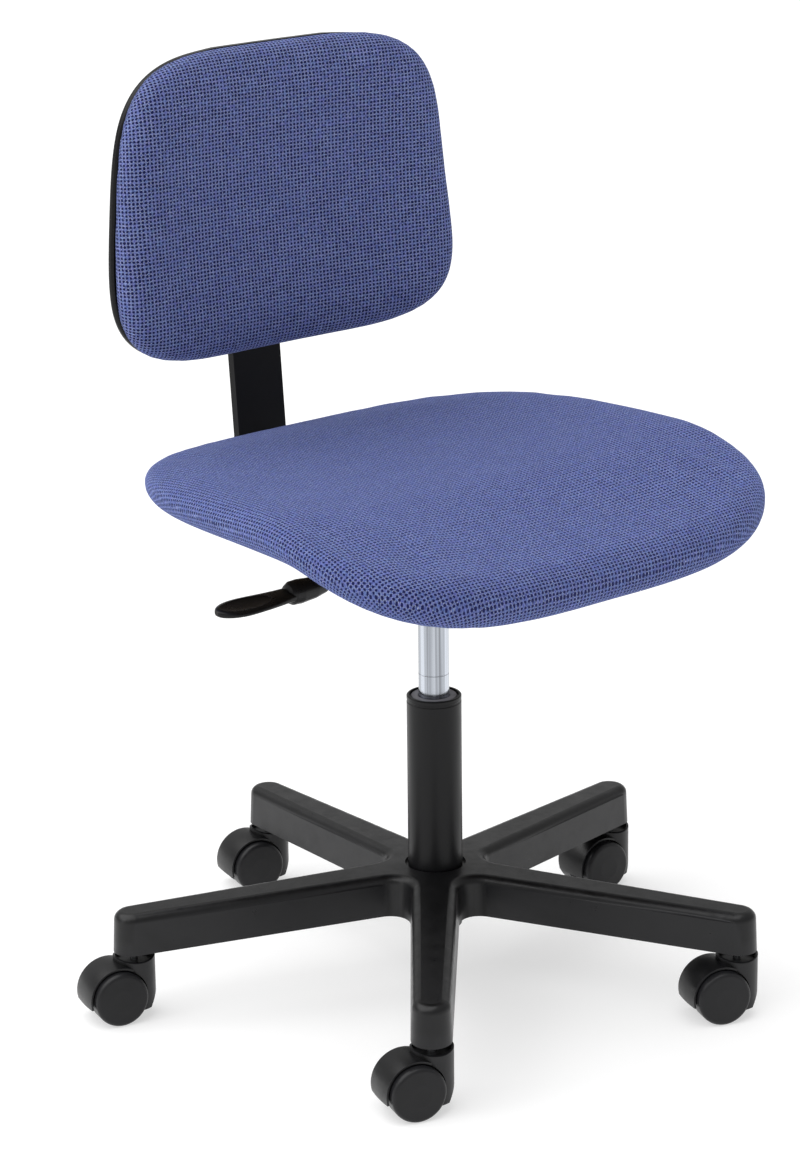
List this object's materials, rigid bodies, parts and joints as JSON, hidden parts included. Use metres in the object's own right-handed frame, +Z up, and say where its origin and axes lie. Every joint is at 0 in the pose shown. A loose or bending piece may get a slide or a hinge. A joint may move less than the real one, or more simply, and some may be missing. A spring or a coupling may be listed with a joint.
{
  "type": "swivel office chair",
  "caption": "Armless swivel task chair: upholstered seat and backrest on a flat steel bar, gas lift with side lever, and an arm-star base on hooded twin-wheel castors.",
  "frame": {"origin": "on the floor, on the axis of the column", "axes": "+Z up, the chair faces -Y, the sitter's right is -X"},
  "size_m": [0.6112, 0.5883, 0.843],
  "materials": {
    "base_nylon": "moulded charcoal black nylon, fine texture",
    "wheel_nylon": "moulded black nylon, satin",
    "black_steel": "matte black powder coat",
    "bright_steel": "ground and satin chromed steel",
    "zinc_steel": "bright zinc plate",
    "bearing_steel": "polished and oiled",
    "bush_plastic": "grey acetal",
    "rubber_part": "matte black rubber",
    "black_plastic": "fine grained black polypropylene, semi gloss",
    "seat_fabric": "two-tone blue basket weave",
    "back_fabric": "two-tone blue basket weave",
    "plywood": "raw beech plywood, black backing cloth under the seat"
  },
  "bodies": {
    "base": {"base_star": "base_nylon", "column_tube": "black_steel", "guide_bush": "bush_plastic", "lower_bearing_race": "bearing_steel", "bearing_balls": "bearing_steel", "caster_stems": "zinc_steel", "stem_grip_rings": "zinc_steel"},
    "lift_rod": {"piston_rod": "bright_steel", "upper_bearing_race": "bearing_steel", "bump_ring": "rubber_part", "rod_clip": "zinc_steel", "piston": "bush_plastic"},
    "seat_unit": {"gas_cylinder": "bright_steel", "cylinder_gland": "zinc_steel", "taper_socket": "black_steel", "mechanism_plate": "black_steel", "mechanism_housing": "black_steel", "clamp_nut": "zinc_steel", "seat_bolts": "zinc_steel", "tee_nuts": "zinc_steel", "seat_board": "plywood", "seat_cushion": "seat_fabric", "lever_pivot_pin": "zinc_steel"},
    "lever": {"lever_rod": "bright_steel", "lever_handle": "black_plastic"},
    "valve_pin": {"release_pin": "bright_steel"},
    "bar": {"back_bar": "black_steel", "bar_end_cap": "black_plastic"},
    "depth_clamp": {"depth_knob": "black_plastic", "depth_screw": "zinc_steel"},
    "backrest": {"back_cushion": "back_fabric", "back_board": "plywood", "back_shell": "black_plastic", "back_bracket": "black_plastic", "back_screws": "zinc_steel"},
    "height_clamp": {"height_knob": "black_plastic", "height_screw": "zinc_steel"},
    "caster_1": {"caster_1_hood": "base_nylon", "caster_1_axle": "zinc_steel"},
    "caster_1_right": {"caster_1_wheel_right": "wheel_nylon"},
    "caster_1_left": {"caster_1_wheel_left": "wheel_nylon"},
    "caster_2": {"caster_2_hood": "base_nylon", "caster_2_axle": "zinc_steel"},
    "caster_2_right": {"caster_2_wheel_right": "wheel_nylon"},
    "caster_2_left": {"caster_2_wheel_left": "wheel_nylon"},
    "caster_3": {"caster_3_hood": "base_nylon", "caster_3_axle": "zinc_steel"},
    "caster_3_right": {"caster_3_wheel_right": "wheel_nylon"},
    "caster_3_left": {"caster_3_wheel_left": "wheel_nylon"},
    "caster_4": {"caster_4_hood": "base_nylon", "caster_4_axle": "zinc_steel"},
    "caster_4_right": {"caster_4_wheel_right": "wheel_nylon"},
    "caster_4_left": {"caster_4_wheel_left": "wheel_nylon"},
    "caster_5": {"caster_5_hood": "base_nylon", "caster_5_axle": "zinc_steel"},
    "caster_5_right": {"caster_5_wheel_right": "wheel_nylon"},
    "caster_5_left": {"caster_5_wheel_left": "wheel_nylon"}
  },
  "joints": [
    {"name": "seat_swivel", "type": "hinge", "parent": "base", "child": "lift_rod", "pos_m": [0, 0, 0.06], "axis": [0, 0, 1], "continuous": true},
    {"name": "seat_lift", "type": "slide", "parent": "lift_rod", "child": "seat_unit", "axis": [0, 0, 1], "range_m": [-0.075, 0.045]},
    {"name": "lever_lift", "type": "hinge", "parent": "seat_unit", "child": "lever", "pos_m": [-0.024, 0, 0.4043], "axis": [0, 1, 0], "range_deg": [0, 6], "stiffness_Nm_per_rad": 3, "springref_deg": -4.58},
    {"name": "valve_press", "type": "slide", "parent": "seat_unit", "child": "valve_pin", "axis": [0, 0, 1], "range_m": [-0.0035, 0], "stiffness_N_per_m": 400, "springref_m": 0.001},
    {"name": "back_depth", "type": "slide", "parent": "seat_unit", "child": "bar", "axis": [0, 1, 0], "range_m": [-0.01, 0.04]},
    {"name": "depth_clamp_turn", "type": "hinge", "parent": "seat_unit", "child": "depth_clamp", "pos_m": [0, 0.09, 0.4], "axis": [0, 0, 1], "range_deg": [0, 720]},
    {"name": "back_height", "type": "slide", "parent": "bar", "child": "backrest", "axis": [0, 0.0811, 0.9967], "range_m": [-0.03, 0.03]},
    {"name": "height_clamp_turn", "type": "hinge", "parent": "backrest", "child": "height_clamp", "pos_m": [0, 0.28923, 0.68488], "axis": [0, 0.9967, -0.0811], "range_deg": [0, 720]},
    {"name": "caster_1_swivel", "type": "hinge", "parent": "base", "child": "caster_1", "pos_m": [-0.19067, -0.2125, 0.05], "axis": [0, 0, 1], "continuous": true},
    {"name": "caster_1_right_spin", "type": "hinge", "parent": "caster_1", "child": "caster_1_right", "pos_m": [-0.21066, -0.20608, 0.025], "axis": [0.3057, 0.9521, 0], "continuous": true},
    {"name": "caster_1_left_spin", "type": "hinge", "parent": "caster_1", "child": "caster_1_left", "pos_m": [-0.21066, -0.20608, 0.025], "axis": [0.3057, 0.9521, 0], "continuous": true},
    {"name": "caster_2_swivel", "type": "hinge", "parent": "base", "child": "caster_2", "pos_m": [0.14318, -0.247, 0.05], "axis": [0, 0, 1], "continuous": true},
    {"name": "caster_2_right_spin", "type": "hinge", "parent": "caster_2", "child": "caster_2_right", "pos_m": [0.12364, -0.2393, 0.025], "axis": [0.3665, 0.9304, 0], "continuous": true},
    {"name": "caster_2_left_spin", "type": "hinge", "parent": "caster_2", "child": "caster_2_left", "pos_m": [0.12364, -0.2393, 0.025], "axis": [0.3665, 0.9304, 0], "continuous": true},
    {"name": "caster_3_swivel", "type": "hinge", "parent": "base", "child": "caster_3", "pos_m": [0.27916, 0.05985, 0.05], "axis": [0, 0, 1], "continuous": true},
    {"name": "caster_3_right_spin", "type": "hinge", "parent": "caster_3", "child": "caster_3_right", "pos_m": [0.25821, 0.06138, 0.025], "axis": [0.0732, 0.9973, 0], "continuous": true},
    {"name": "caster_3_left_spin", "type": "hinge", "parent": "caster_3", "child": "caster_3_left", "pos_m": [0.25821, 0.06138, 0.025], "axis": [0.0732, 0.9973, 0], "continuous": true},
    {"name": "caster_4_swivel", "type": "hinge", "parent": "base", "child": "caster_4", "pos_m": [0.02935, 0.28399, 0.05], "axis": [0, 0, 1], "continuous": true},
    {"name": "caster_4_right_spin", "type": "hinge", "parent": "caster_4", "child": "caster_4_right", "pos_m": [0.00887, 0.28864, 0.025], "axis": [0.2215, 0.9751, 0], "continuous": true},
    {"name": "caster_4_left_spin", "type": "hinge", "parent": "caster_4", "child": "caster_4_left", "pos_m": [0.00887, 0.28864, 0.025], "axis": [0.2215, 0.9751, 0], "continuous": true},
    {"name": "caster_5_swivel", "type": "hinge", "parent": "base", "child": "caster_5", "pos_m": [-0.26102, 0.11567, 0.05], "axis": [0, 0, 1], "continuous": true},
    {"name": "caster_5_right_spin", "type": "hinge", "parent": "caster_5", "child": "caster_5_right", "pos_m": [-0.28136, 0.12089, 0.025], "axis": [0.2487, 0.9686, 0], "continuous": true},
    {"name": "caster_5_left_spin", "type": "hinge", "parent": "caster_5", "child": "caster_5_left", "pos_m": [-0.28136, 0.12089, 0.025], "axis": [0.2487, 0.9686, 0], "continuous": true}
  ],
  "couplings": [
    {"joint": "valve_press", "follows": "lever_lift", "m_per_rad": -0.024}
  ]
}
